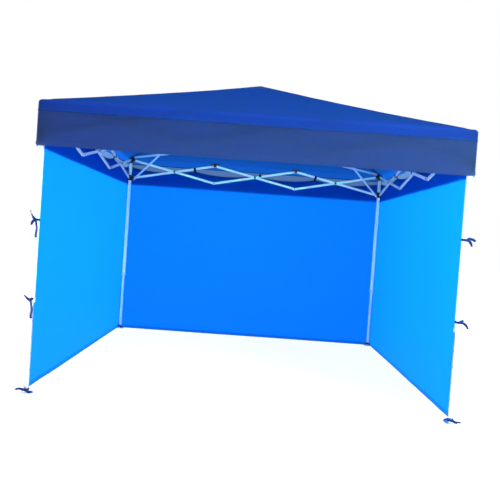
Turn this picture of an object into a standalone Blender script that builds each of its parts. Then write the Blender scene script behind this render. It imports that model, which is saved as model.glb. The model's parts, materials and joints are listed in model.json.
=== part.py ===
"""Pop up canopy, low leg setting: a square folding frame under a peaked cover with three walls.

Metres, +Z up, ground at z = 0, origin under the peak. The open front faces -Y. Legs stand at
the corners bl, br, fl, fr (back or front, left or right). Each side truss has three scissors.
Bars "a" rise from the side's first leg towards its second and bars "b" fall. At every corner a
roof arm reaches in towards the peak: a nearly level outer rib, an elbow, a steep inner rib that
ends at the peak hub, and a strut that props the outer rib from the slider.
"""
import math

import bmesh
import bpy
from mathutils import Matrix, Vector

for old in list(bpy.data.objects):
    bpy.data.objects.remove(old, do_unlink=True)

# legs
SPAN_HALF = 1.45  # leg centre from the middle, both ways
LEG_HALF = 0.016  # outer leg tube, 32 mm square
LEG_WALL = 0.0015
LEG_BEVEL = 0.004
LEG_BORE_BEVEL = 0.0015  # corner cut inside the inner tube
OUTER_BOTTOM = 0.62
OUTER_TOP = 1.977
INNER_HALF = 0.013  # inner leg tube, 26 mm square
INNER_TOP = 1.12
FOOT_HALF = 0.040
FOOT_THICK = 0.005
FOOT_BEVEL = 0.008

# side trusses
TOP_PIN_Z = 1.960
TRUSS_DROP = 0.200  # slider pin below bracket pin
PIN_INSET = 0.042  # corner pin from the leg centre
BAYS = 3
BAR_THICK = 0.012
BAR_HEIGHT = 0.024
BAR_WALL = 0.0013
BAR_OVERRUN = 0.012  # bar end beyond its pin
BAR_PLANE = 0.0064  # bar centre plane from the leg plane
PLATE_THICK = 0.003
SIDE_GAP = 0.0005

# pins
PIN_R = 0.0035
HOLE_R = 0.0042
HEAD_R = 0.0065
HEAD_THICK = 0.0025
PIN_SIDES = 8
LOOSE_HOLE_R = 0.0052
HEAD_SINK = 0.0002  # head and shaft share this much, so that they join

# roof arms
ARM_INSET = 0.062  # arm pins from the leg centre, along the diagonal
ARM_THICK = 0.010
ARM_WALL = 0.0012
ARM_OVERRUN = 0.010
RIB_HEIGHT = 0.020
STRUT_HEIGHT = 0.018
RIB_PIN_Z = TOP_PIN_Z + 0.030
STRUT_PIN_Z = TOP_PIN_Z - TRUSS_DROP - 0.020
OUTER_RIB = 0.900
OUTER_RIB_SLOPE = math.radians(0.92)
STRUT_REACH = 0.474  # strut pin along the outer rib
ARM_PLANE = 0.0106  # strut on one side of the outer rib, inner rib on the other
HUB_RISE = 0.515  # hub pins above the rib pins
HUB_PIN_R = 0.060
HUB_CORE_R = 0.036
HUB_SIDES = 16
HUB_BELOW = 0.030
HUB_ABOVE = 0.012
HUB_SIDE_GAP = 0.0012
HUB_EAR_ROOT = 0.024
ARM_PIN_R = 0.003
ARM_HOLE_R = 0.0038
ARM_HEAD_R = 0.006
ARM_CUT_REACH = 0.02  # hole cutters, either side of a tube

# corner fittings
BRACKET_HALF = 0.021
BRACKET_BOTTOM = TOP_PIN_Z - 0.035
BRACKET_TOP = TOP_PIN_Z + 0.024
BRACKET_BORE = LEG_HALF + 0.0003
BORE_ROOF_GAP = 0.0005  # leg top to the end of the bracket bore
SLIDER_HALF = 0.0215
SLIDER_BORE = LEG_HALF + 0.0005
SLIDER_BELOW = 0.032
SLIDER_ABOVE = 0.028
STRUT_EAR_ROOT = 0.020
CLEVIS_HALF = 0.010
CLEVIS_REACH = 0.009  # plate beyond its pin
EAR_ROOT = LEG_HALF + 0.0025  # truss ears start inside the fitting
FITTING_BEVEL = 0.003
BORE_OVER = 0.01  # bore cutters beyond the fitting
RIB_EAR_ROOT = 0.024
RIB_EAR_DEPTH = 0.022
RIB_EAR_ABOVE = 0.006  # low enough to clear the cover

# fabric
COVER_HALF = 1.484
COVER_THICK = 0.003
EAVE_Z = 1.986
PEAK_Z = 2.556
VALANCE_BOTTOM = 1.680
WALL_PLANE = 1.474
WALL_THICK = 0.002
WALL_BOTTOM = 0.012
WALL_TOP = 1.900
WALL_END = 1.462  # wall edge from the middle

# peak cap profile, (radius, height above the hub top)
CAP_PROFILE = ((0.046, 0.0003), (0.046, 0.008), (0.030, 0.018), (0.012, 0.026))
CAP_SIDES = 24
CAP_TIP = 0.028

CORNERS = {"bl": (-1, 1), "br": (1, 1), "fl": (-1, -1), "fr": (1, -1)}
# side: first leg, second leg, direction from the first to the second, outward side of +Y
SIDES = {
    "back": ("bl", "br", Vector((1, 0, 0)), 1),
    "left": ("bl", "fl", Vector((0, -1, 0)), -1),
    "right": ("br", "fr", Vector((0, -1, 0)), 1),
    "front": ("fl", "fr", Vector((1, 0, 0)), -1),
}

BAY = (2 * SPAN_HALF - 2 * PIN_INSET) / BAYS
BAR_LENGTH = math.hypot(BAY, TRUSS_DROP)
BAR_ANGLE = math.atan2(TRUSS_DROP, BAY)
HUB_PIN_Z = RIB_PIN_Z + HUB_RISE
HUB_TOP = HUB_PIN_Z + HUB_ABOVE


def material(name, colour, roughness, metallic=0.0):
    made = bpy.data.materials.new(name)
    made.use_nodes = True
    shader = made.node_tree.nodes["Principled BSDF"]
    shader.inputs["Base Color"].default_value = (*colour, 1)
    shader.inputs["Roughness"].default_value = roughness
    shader.inputs["Metallic"].default_value = metallic
    return made


WHITE_STEEL = material("white_powder_coat", (0.80, 0.82, 0.84), 0.38)
BLACK_NYLON = material("black_nylon", (0.015, 0.015, 0.017), 0.45)
ZINC = material("zinc_plate", (0.55, 0.56, 0.58), 0.35, 1.0)
COVER_CLOTH = material("cover_polyester", (0.016, 0.065, 0.42), 0.75)
WALL_CLOTH = material("wall_polyester", (0.0, 0.28, 0.95), 0.70)


def mesh_object(name, verts, faces, mat):
    mesh = bpy.data.meshes.new(name)
    mesh.from_pydata([tuple(v) for v in verts], [], faces)
    mesh.materials.append(mat)
    made = bpy.data.objects.new(name, mesh)
    bpy.context.scene.collection.objects.link(made)
    bm = bmesh.new()
    bm.from_mesh(mesh)
    bmesh.ops.recalc_face_normals(bm, faces=bm.faces)
    bm.to_mesh(mesh)
    bm.free()
    return made


def loft(name, rings, mat, ring_shut=False):
    """A solid through rings with equal numbers of points, capped, or joined end to end."""
    count = len(rings[0])
    verts = [v for ring in rings for v in ring]
    faces = []
    joins = len(rings) if ring_shut else len(rings) - 1
    for i in range(joins):
        here = i * count
        there = (i + 1) % len(rings) * count
        for k in range(count):
            nxt = (k + 1) % count
            faces.append((here + k, here + nxt, there + nxt, there + k))
    if not ring_shut:
        faces.append(tuple(range(count)))
        faces.append(tuple(range(len(verts) - count, len(verts))))
    return mesh_object(name, verts, faces, mat)


def octagon(half_a, half_b, bevel):
    """A rectangle with cut corners, as points (a, b) in order."""
    a, b, c = half_a, half_b, bevel
    return [
        (a, -b + c), (a, b - c), (a - c, b), (-a + c, b),
        (-a, b - c), (-a, -b + c), (-a + c, -b), (a - c, -b),
    ]


def box(name, low, high, mat):
    rings = []
    for z in (low[2], high[2]):
        corners = ((low[0], low[1]), (high[0], low[1]), (high[0], high[1]), (low[0], high[1]))
        rings.append([(x, y, z) for x, y in corners])
    return loft(name, rings, mat)


def post(name, half, bevel, z_low, z_high, mat):
    rings = [[(x, y, z) for x, y in octagon(half, half, bevel)] for z in (z_low, z_high)]
    return loft(name, rings, mat)


def rod_y(name, x, z, y_low, y_high, radius, mat, sides=PIN_SIDES):
    """A round bar along Y."""
    turn = [2 * math.pi * (k + 0.5) / sides for k in range(sides)]
    rings = []
    for y in (y_low, y_high):
        rings.append([(x + radius * math.cos(t), y, z + radius * math.sin(t)) for t in turn])
    return loft(name, rings, mat)


def combine(target, tools, operation):
    """Join the tools to the target or cut them from it, and remove the tools."""
    for tool in tools:
        step = target.modifiers.new("step", "BOOLEAN")
        step.operation = operation
        step.solver = "EXACT"
        step.object = tool
        bpy.context.view_layer.update()
        graph = bpy.context.evaluated_depsgraph_get()
        result = bpy.data.meshes.new_from_object(target.evaluated_get(graph))
        target.modifiers.clear()
        old = target.data
        target.data = result
        result.name = target.name
        bpy.data.meshes.remove(old)
        bpy.data.objects.remove(tool, do_unlink=True)
    return target


def hollow_bar(name, x_low, x_high, y_mid, thick, height, wall, mat):
    """An open ended rectangular tube along X."""
    rings = []
    ends = ((x_low, 0.0), (x_high, 0.0), (x_high, wall), (x_low, wall))
    for x, inset in ends:
        a, b = thick / 2 - inset, height / 2 - inset
        section = ((-a, -b), (a, -b), (a, b), (-a, b))
        rings.append([(x, y_mid + y, z) for y, z in section])
    return loft(name, rings, mat, ring_shut=True)


def place(obj, origin, along, up=Vector((0, 0, 1))):
    """Stand the object at origin with its X along the given direction and Y level."""
    x_axis = along.normalized()
    y_axis = up.cross(x_axis).normalized()
    z_axis = x_axis.cross(y_axis)
    turn = Matrix((x_axis, y_axis, z_axis)).transposed().to_4x4()
    obj.matrix_world = Matrix.Translation(origin) @ turn
    return obj


def pin_with_heads(name, x, z, y_low, y_high, radius, head_r, mat, heads=(True, True)):
    """Shaft from y_low to y_high with a head outside each end."""
    tools = []
    if heads[0]:
        tools.append(rod_y("head", x, z, y_low - HEAD_THICK, y_low + HEAD_SINK, head_r, mat))
    if heads[1]:
        tools.append(rod_y("head", x, z, y_high - HEAD_SINK, y_high + HEAD_THICK, head_r, mat))
    return combine(rod_y(name, x, z, y_low, y_high, radius, mat), tools, "UNION")


def clevis(x_root, x_pin, z_pin, y_mid, thick, pin_r, head_r, z_reach=None, side_gap=SIDE_GAP):
    """Two plates on either side of a bar, with the pin that joins them."""
    gap = thick / 2 + side_gap
    outer = gap + PLATE_THICK
    low, high = z_reach or (z_pin - CLEVIS_HALF, z_pin + CLEVIS_HALF)
    parts = []
    for near, far in ((-outer, -gap), (gap, outer)):
        corner = (x_root, y_mid + near, low)
        parts.append(box("plate", corner, (x_pin + CLEVIS_REACH, y_mid + far, high), BLACK_NYLON))
    shaft = (y_mid - outer, y_mid + outer)
    parts.append(pin_with_heads("pin", x_pin, z_pin, *shaft, pin_r, head_r, BLACK_NYLON))
    return parts


def turned(parts, direction, corner):
    """Swing fittings drawn along +X from the leg axis onto a leg, facing the direction."""
    for part in parts:
        place(part, Vector((corner[0], corner[1], 0)), direction)
    bpy.context.view_layer.update()
    return parts


def inward(corner):
    sx, sy = CORNERS[corner]
    return Vector((-sx, -sy, 0)).normalized()


def leg_axis(corner):
    sx, sy = CORNERS[corner]
    return Vector((sx * SPAN_HALF, sy * SPAN_HALF, 0))


def truss_faces(corner):
    """For each side that meets this leg: direction into the side, bar plane at the top and low.

    The first leg's bracket holds an inner bar and its slider an outer one. At the second leg it
    is the other way round, and so is +Y, so that the planes come out the same.
    """
    found = []
    for first, second, along, outward in SIDES.values():
        if corner in (first, second):
            into = along if corner == first else -along
            found.append((into, -outward * BAR_PLANE, outward * BAR_PLANE))
    return found


def make_upper_leg(corner):
    rings = []
    for z, inset in ((OUTER_BOTTOM, 0), (OUTER_TOP, 0), (OUTER_TOP, LEG_WALL), (OUTER_BOTTOM, LEG_WALL)):
        section = octagon(LEG_HALF - inset, LEG_HALF - inset, LEG_BEVEL - inset)
        rings.append([(x, y, z) for x, y in section])
    leg = loft("upper_leg_" + corner, rings, WHITE_STEEL, ring_shut=True)
    leg.matrix_world = Matrix.Translation(leg_axis(corner))


def make_lower_leg(corner):
    base = FOOT_THICK
    bevel = LEG_BEVEL - LEG_WALL
    plate = octagon(FOOT_HALF, FOOT_HALF, FOOT_BEVEL)
    outer = octagon(INNER_HALF, INNER_HALF, bevel)
    inner = octagon(INNER_HALF - LEG_WALL, INNER_HALF - LEG_WALL, LEG_BORE_BEVEL)
    rings = [
        [(x, y, 0.0) for x, y in plate],
        [(x, y, base) for x, y in plate],
        [(x, y, base) for x, y in outer],
        [(x, y, INNER_TOP) for x, y in outer],
        [(x, y, INNER_TOP) for x, y in inner],
        [(x, y, base) for x, y in inner],
    ]
    leg = loft("lower_leg_" + corner, rings, ZINC)
    leg.matrix_world = Matrix.Translation(leg_axis(corner))


def make_top_bracket(corner):
    ends = (BRACKET_BOTTOM, BRACKET_TOP)
    body = post("top_bracket_" + corner, BRACKET_HALF, FITTING_BEVEL, *ends, BLACK_NYLON)
    bore_ends = (BRACKET_BOTTOM - BORE_OVER, OUTER_TOP + BORE_ROOF_GAP)
    bore = post("bore", BRACKET_BORE, LEG_BEVEL, *bore_ends, BLACK_NYLON)
    body.matrix_world = Matrix.Translation(leg_axis(corner))
    bore.matrix_world = Matrix.Translation(leg_axis(corner))
    where = leg_axis(corner)
    for along, top_plane, _ in truss_faces(corner):
        ears = clevis(EAR_ROOT, PIN_INSET, TOP_PIN_Z, top_plane, BAR_THICK, PIN_R, HEAD_R)
        combine(body, turned(ears, along, where), "UNION")
    reach = (BRACKET_TOP - RIB_EAR_DEPTH, RIB_PIN_Z + RIB_EAR_ABOVE)
    ears = clevis(RIB_EAR_ROOT, ARM_INSET, RIB_PIN_Z, 0.0, ARM_THICK, ARM_PIN_R, ARM_HEAD_R, reach)
    combine(body, turned(ears, inward(corner), where), "UNION")
    combine(body, [bore], "DIFFERENCE")


def make_slider(corner):
    pin_z = TOP_PIN_Z - TRUSS_DROP
    low, high = pin_z - SLIDER_BELOW, pin_z + SLIDER_ABOVE
    body = post("slider_" + corner, SLIDER_HALF, FITTING_BEVEL, low, high, BLACK_NYLON)
    bore = post("bore", SLIDER_BORE, LEG_BEVEL, low - BORE_OVER, high + BORE_OVER, BLACK_NYLON)
    where = leg_axis(corner)
    body.matrix_world = Matrix.Translation(where)
    bore.matrix_world = Matrix.Translation(where)
    for along, _, low_plane in truss_faces(corner):
        ears = clevis(EAR_ROOT, PIN_INSET, pin_z, low_plane, BAR_THICK, PIN_R, HEAD_R)
        combine(body, turned(ears, along, where), "UNION")
    far = ARM_PLANE + ARM_THICK / 2 + SIDE_GAP
    near = ARM_PLANE - ARM_THICK / 2 - SIDE_GAP
    ear = box(
        "ear",
        (STRUT_EAR_ROOT, near - PLATE_THICK, STRUT_PIN_Z - CLEVIS_HALF),
        (ARM_INSET + CLEVIS_REACH, near, STRUT_PIN_Z + CLEVIS_HALF),
        BLACK_NYLON,
    )
    shaft = (near - PLATE_THICK, far)
    pin = pin_with_heads("pin", ARM_INSET, STRUT_PIN_Z, *shaft, ARM_PIN_R, ARM_HEAD_R, BLACK_NYLON)
    combine(body, turned([ear, pin], inward(corner), where), "UNION")
    combine(body, [bore], "DIFFERENCE")


def make_bar(name, outward, pins, holes, start, end, pivot):
    """A truss bar with its middle at X = 0 before its origin moves to the pivot position.

    Pins stand on the inner bars and pass through the outer ones.
    """
    half = BAR_LENGTH / 2
    plane = outward * BAR_PLANE * (-1 if pins is not None else 1)
    ends = (-half - BAR_OVERRUN, half + BAR_OVERRUN)
    bar = hollow_bar(name, *ends, plane, BAR_THICK, BAR_HEIGHT, BAR_WALL, WHITE_STEEL)
    reach = BAR_PLANE + BAR_THICK / 2
    cutters = [rod_y("cut", x, 0, plane - reach, plane + reach, HOLE_R, ZINC) for x in holes]
    combine(bar, cutters, "DIFFERENCE")
    tools = []
    for x in pins or ():
        shaft = sorted((-outward * reach, outward * (reach + SIDE_GAP)))
        tools.append(pin_with_heads("pin", x, 0, *shaft, PIN_R, HEAD_R, ZINC))
    combine(bar, tools, "UNION")
    bar.data.transform(Matrix.Translation((-pivot, 0, 0)))
    along = (end - start).normalized()
    place(bar, (start + end) / 2 + along * pivot, along)
    return bar


def make_truss(side):
    first, _, along, outward = SIDES[side]
    base = leg_axis(first) + along * PIN_INSET
    half = BAR_LENGTH / 2
    top = [base + along * BAY * i + Vector((0, 0, TOP_PIN_Z)) for i in range(BAYS + 1)]
    low = [p - Vector((0, 0, TRUSS_DROP)) for p in top]
    # each bar turns about one of its three pins: its near end for b1, a2, b3, its middle for the rest
    for i in range(BAYS):
        led_by_a = i % 2 == 1
        name = "truss_%s_a%d" % (side, i + 1)
        pivot = -half if led_by_a else 0.0
        make_bar(name, outward, None, (-half, 0.0, half), low[i], top[i + 1], pivot)
        pins = [0.0]
        holes = []
        (pins if i > 0 else holes).append(-half)
        (pins if i < BAYS - 1 else holes).append(half)
        name = "truss_%s_b%d" % (side, i + 1)
        pivot = 0.0 if led_by_a else -half
        make_bar(name, outward, pins, holes, top[i], low[i + 1], pivot)


def arm_points(corner):
    """Rib pin, elbow, hub pin, strut's low pin and the strut's place on the outer rib."""
    d = inward(corner)
    base = leg_axis(corner) + d * ARM_INSET
    up = Vector((0, 0, 1))
    rib_pin = base + up * RIB_PIN_Z
    slope = d * math.cos(OUTER_RIB_SLOPE) + up * math.sin(OUTER_RIB_SLOPE)
    elbow = rib_pin + slope * OUTER_RIB
    hub_pin = -d * HUB_PIN_R + up * HUB_PIN_Z
    strut_pin = base + up * STRUT_PIN_Z
    return rib_pin, elbow, hub_pin, strut_pin, rib_pin + slope * STRUT_REACH


def arm_tube(name, start, end, y_mid, height):
    length = (end - start).length
    ends = (-ARM_OVERRUN, length + ARM_OVERRUN)
    tube = hollow_bar(name, *ends, y_mid, ARM_THICK, height, ARM_WALL, WHITE_STEEL)
    return tube, length


def arm_hole(x, y_mid, radius):
    return rod_y("cut", x, 0, y_mid - ARM_CUT_REACH, y_mid + ARM_CUT_REACH, radius, ZINC)


def make_arm(corner):
    rib_pin, elbow, hub_pin, strut_pin, strut_top = arm_points(corner)
    side = ARM_THICK / 2

    rib, length = arm_tube("rib_outer_" + corner, rib_pin, elbow, 0.0, RIB_HEIGHT)
    combine(rib, [arm_hole(0, 0, ARM_HOLE_R)], "DIFFERENCE")
    shaft = (-ARM_PLANE - side - SIDE_GAP, side)
    combine(rib, [pin_with_heads("pin", length, 0, *shaft, ARM_PIN_R, ARM_HEAD_R, ZINC)], "UNION")
    place(rib, rib_pin, elbow - rib_pin)

    rib, length = arm_tube("rib_inner_" + corner, elbow, hub_pin, -ARM_PLANE, RIB_HEIGHT)
    combine(rib, [arm_hole(0, -ARM_PLANE, ARM_HOLE_R)], "DIFFERENCE")
    combine(rib, [arm_hole(length, -ARM_PLANE, LOOSE_HOLE_R)], "DIFFERENCE")
    place(rib, elbow, hub_pin - elbow)

    strut, length = arm_tube("strut_" + corner, strut_pin, strut_top, ARM_PLANE, STRUT_HEIGHT)
    combine(strut, [arm_hole(0, ARM_PLANE, ARM_HOLE_R)], "DIFFERENCE")
    bolt = rod_y("bolt", length, 0, ARM_PLANE, ARM_PLANE + side + HEAD_THICK, ARM_HEAD_R, ZINC)
    combine(strut, [bolt], "UNION")
    place(strut, strut_pin, strut_top - strut_pin)


def round_post(name, profile, sides, mat, tip=None):
    turn = [2 * math.pi * (k + 0.5) / sides for k in range(sides)]
    rings = [[(r * math.cos(t), r * math.sin(t), z) for t in turn] for r, z in profile]
    if tip is None:
        return loft(name, rings, mat)
    verts = [v for ring in rings for v in ring] + [(0, 0, tip)]
    faces = [tuple(range(sides))]
    for i in range(len(rings) - 1):
        for k in range(sides):
            nxt = (k + 1) % sides
            here = i * sides
            faces.append((here + k, here + nxt, here + sides + nxt, here + sides + k))
    last = (len(rings) - 1) * sides
    for k in range(sides):
        faces.append((last + k, last + (k + 1) % sides, len(verts) - 1))
    return mesh_object(name, verts, faces, mat)


def make_hub():
    profile = ((HUB_CORE_R, HUB_PIN_Z - HUB_BELOW), (HUB_CORE_R, HUB_TOP))
    hub = round_post("peak_hub", profile, HUB_SIDES, BLACK_NYLON)
    sizes = (ARM_THICK, ARM_PIN_R, ARM_HEAD_R)
    for corner in CORNERS:
        ears = clevis(HUB_EAR_ROOT, HUB_PIN_R, HUB_PIN_Z, ARM_PLANE, *sizes, side_gap=HUB_SIDE_GAP)
        combine(hub, turned(ears, -inward(corner), Vector((0, 0, 0))), "UNION")
    profile = [(r, HUB_TOP + z) for r, z in CAP_PROFILE]
    round_post("peak_cap", profile, CAP_SIDES, BLACK_NYLON, tip=HUB_TOP + CAP_TIP)


def square_ring(half, z):
    return [(half, -half, z), (half, half, z), (-half, half, z), (-half, -half, z)]


def make_cover():
    """The peaked top and its valance, one thin shell."""
    inner = COVER_HALF - COVER_THICK
    rings = [
        square_ring(COVER_HALF, EAVE_Z),
        square_ring(COVER_HALF, VALANCE_BOTTOM),
        square_ring(inner, VALANCE_BOTTOM),
        square_ring(inner, EAVE_Z - COVER_THICK),
    ]
    verts = [v for ring in rings for v in ring]
    verts.append((0, 0, PEAK_Z))
    verts.append((0, 0, PEAK_Z - COVER_THICK))
    faces = []
    for i in range(len(rings) - 1):
        for k in range(4):
            nxt = (k + 1) % 4
            faces.append((4 * i + k, 4 * i + nxt, 4 * i + 4 + nxt, 4 * i + 4 + k))
    for k in range(4):
        nxt = (k + 1) % 4
        faces.append((k, nxt, 16))
        faces.append((12 + k, 12 + nxt, 17))
    mesh_object("canopy_cover", verts, faces, COVER_CLOTH)


def make_walls():
    far = WALL_PLANE + WALL_THICK
    low, high = WALL_BOTTOM, WALL_TOP
    box("wall_back", (-WALL_END, WALL_PLANE, low), (WALL_END, far, high), WALL_CLOTH)
    box("wall_left", (-far, -WALL_END, low), (-WALL_PLANE, WALL_END, high), WALL_CLOTH)
    box("wall_right", (WALL_PLANE, -WALL_END, low), (far, WALL_END, high), WALL_CLOTH)


for corner in CORNERS:
    make_upper_leg(corner)
    make_lower_leg(corner)
    make_top_bracket(corner)
    make_slider(corner)
    make_arm(corner)
for side in SIDES:
    make_truss(side)
make_hub()
make_cover()
make_walls()
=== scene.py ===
import json
import math

import bpy
from mathutils import Matrix, Vector, noise


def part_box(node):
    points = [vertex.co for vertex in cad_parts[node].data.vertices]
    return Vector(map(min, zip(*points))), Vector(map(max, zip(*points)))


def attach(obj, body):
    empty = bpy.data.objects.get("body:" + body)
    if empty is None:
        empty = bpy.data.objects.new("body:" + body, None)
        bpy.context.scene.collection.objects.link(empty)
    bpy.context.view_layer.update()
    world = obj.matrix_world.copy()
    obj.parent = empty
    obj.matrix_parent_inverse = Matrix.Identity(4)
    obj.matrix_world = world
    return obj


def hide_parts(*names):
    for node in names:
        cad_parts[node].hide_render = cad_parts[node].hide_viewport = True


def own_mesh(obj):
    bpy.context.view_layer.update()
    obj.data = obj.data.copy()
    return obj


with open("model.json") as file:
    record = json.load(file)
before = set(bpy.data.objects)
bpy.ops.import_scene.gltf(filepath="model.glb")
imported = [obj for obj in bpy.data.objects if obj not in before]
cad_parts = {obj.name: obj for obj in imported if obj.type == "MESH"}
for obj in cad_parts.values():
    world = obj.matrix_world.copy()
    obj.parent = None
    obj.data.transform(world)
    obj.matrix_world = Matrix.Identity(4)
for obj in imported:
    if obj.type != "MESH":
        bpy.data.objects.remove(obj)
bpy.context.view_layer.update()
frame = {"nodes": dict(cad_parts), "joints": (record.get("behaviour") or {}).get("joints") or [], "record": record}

UP = Vector((0, 0, 1))

# camera: the open front, a little right of the middle, tilted so that uprights lean
CAMERA_AT = Vector((0.012, -5.478, 1.166))
CAMERA_YAW = math.radians(-0.073)
CAMERA_PITCH = math.radians(-1.228)
CAMERA_ROLL = math.radians(4.066)
SENSOR = 36.0
LENS = 42.77

# the frame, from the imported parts
CORNERS = {"bl": (-1, 1), "br": (1, 1), "fl": (-1, -1), "fr": (1, -1)}
# side: first leg, second leg, direction between them, outward
SIDES = {
    "back": ("bl", "br", Vector((1, 0, 0)), Vector((0, 1, 0))),
    "left": ("bl", "fl", Vector((0, -1, 0)), Vector((-1, 0, 0))),
    "right": ("br", "fr", Vector((0, -1, 0)), Vector((1, 0, 0))),
    "front": ("fl", "fr", Vector((1, 0, 0)), Vector((0, -1, 0))),
}
JOINTS = {joint["name"]: joint for joint in frame["joints"]}
COVER_LOW, COVER_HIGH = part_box("canopy_cover")
HALF = COVER_HIGH[0]  # cover edge from the middle
PEAK = COVER_HIGH[2]
HEM_Z = COVER_LOW[2]  # valance hem
EAVE = 1.986
TOP_PIN = JOINTS["fold"]["pos_m"][2]
LOW_PIN = JOINTS["slider_bl_pin"]["pos_m"][2]
WALL_LOW, WALL_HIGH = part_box("wall_back")


def leg_at(corner):
    low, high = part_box("upper_leg_" + corner)
    return Vector(((low[0] + high[0]) / 2, (low[1] + high[1]) / 2, 0))


LEGS = {corner: leg_at(corner) for corner in CORNERS}
SPAN = LEGS["br"].x  # leg from the middle


# ---------------- camera and light

def add_object(name, data):
    made = bpy.data.objects.new(name, data)
    bpy.context.scene.collection.objects.link(made)
    return made


def aim_camera():
    yaw, pitch, roll = CAMERA_YAW, CAMERA_PITCH, CAMERA_ROLL
    flat = math.cos(pitch)
    ahead = Vector((math.sin(yaw) * flat, math.cos(yaw) * flat, math.sin(pitch)))
    level = Vector((math.cos(yaw), -math.sin(yaw), 0))
    over = level.cross(ahead)
    right = level * math.cos(roll) + over * math.sin(roll)
    above = over * math.cos(roll) - level * math.sin(roll)
    data = bpy.data.cameras.new("camera")
    data.sensor_width = SENSOR
    data.lens = LENS
    camera = add_object("camera", data)
    turn = Matrix((right, above, -ahead)).transposed().to_4x4()
    camera.matrix_world = Matrix.Translation(CAMERA_AT) @ turn
    bpy.context.scene.camera = camera


def area_light(name, at, aim, size, power, colour=(1, 1, 1), spread=180):
    """A round lamp: size in metres, power in watts, spread in degrees."""
    data = bpy.data.lights.new(name, "AREA")
    data.shape = "DISK"
    data.size = size
    data.energy = power
    data.color = colour
    data.spread = math.radians(spread)
    light = add_object(name, data)
    light.location = at
    light.rotation_euler = (Vector(aim) - Vector(at)).to_track_quat("-Z", "Y").to_euler()
    return light


def light_studio():
    world = bpy.data.worlds.new("studio")
    world.use_nodes = True
    sky = world.node_tree.nodes["Background"]
    sky.inputs["Color"].default_value = (1, 1, 1, 1)
    sky.inputs["Strength"].default_value = 1.0
    bpy.context.scene.world = world
    bpy.context.scene.view_settings.view_transform = "Standard"
    area_light("sky_key", (1.5, -2.5, 8.0), (0, 0, 1.5), 5.0, 300)
    area_light("back_wash", (-1.0, 8.0, 3.2), (0, 1.4, 1.0), 5.0, 620)
    area_light("left_wash", (-7.5, -0.5, 1.1), (-1.4, 0, 0.7), 4.5, 1540)
    area_light("right_wash", (7.5, -0.5, 1.1), (1.4, 0, 0.7), 4.5, 1090)
    area_light("right_key", (3.6, -4.2, 2.9), (1.3, -1.4, 1.9), 1.4, 500, (0.5, 1.0, 0.75))
    fill = area_light(
        "front_fill", (-0.3, -6.0, 0.35), (0, 1.4, 1.15), 0.8, 12, (0.1, 1.0, 0.7), spread=36)
    fill.visible_camera = False


# ---------------- materials

def shader_tree(name):
    made = bpy.data.materials.new(name)
    made.use_nodes = True
    tree = made.node_tree
    return made, tree, tree.nodes["Principled BSDF"]


def node(tree, kind, **values):
    made = tree.nodes.new(kind)
    for key, value in values.items():
        setattr(made, key, value)
    return made


def feed(made, sockets):
    """Set a node's inputs to values, or link them to other nodes' outputs."""
    for key, value in sockets.items():
        if isinstance(value, bpy.types.NodeSocket):
            made.id_data.links.new(value, made.inputs[key])
        else:
            made.inputs[key].default_value = value


def object_place(tree):
    return node(tree, "ShaderNodeTexCoord").outputs["Object"]


def math_node(tree, operation, *values):
    made = node(tree, "ShaderNodeMath", operation=operation)
    feed(made, dict(enumerate(values)))
    return made.outputs[0]


def noise_node(tree, vector, scale, detail=3.0, rough=0.55):
    made = node(tree, "ShaderNodeTexNoise")
    feed(made, {"Vector": vector, "Scale": scale, "Detail": detail, "Roughness": rough})
    return made.outputs["Fac"]


def colour_ramp(tree, factor, stops):
    made = node(tree, "ShaderNodeValToRGB")
    ramp = made.color_ramp
    while len(ramp.elements) < len(stops):
        ramp.elements.new(0.5)
    for element, (place, colour) in zip(ramp.elements, stops):
        element.position = place
        element.color = (*colour, 1)
    feed(made, {0: factor})
    return made.outputs["Color"]


def bump_node(tree, height, strength, distance, normal=None):
    made = node(tree, "ShaderNodeBump")
    feed(made, {"Height": height, "Strength": strength, "Distance": distance})
    if normal is not None:
        feed(made, {"Normal": normal})
    return made.outputs["Normal"]


def scaled(colour, share):
    return tuple(min(1.0, c * share) for c in colour)


def mottled(colour, swing):
    """Ramp stops a little darker and lighter than the colour."""
    return (0.36, scaled(colour, 1 - swing)), (0.5, colour), (0.64, scaled(colour, 1 + swing))


THREAD = 0.0011  # thread spacing
THREAD_DEPTH = 0.0004
CREASE_DEPTH = 0.012


def weave_height(tree, uv):
    """Plain weave: bumps where warp and weft cross, on cloth coordinates in metres."""
    parts = node(tree, "ShaderNodeSeparateXYZ")
    feed(parts, {0: uv})
    waves = []
    for axis in (0, 1):
        turns = math_node(tree, "MULTIPLY", parts.outputs[axis], math.pi / THREAD)
        waves.append(math_node(tree, "SINE", turns))
    product = math_node(tree, "MULTIPLY", *waves)
    return math_node(tree, "MULTIPLY_ADD", product, 0.5, 0.5)


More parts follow.
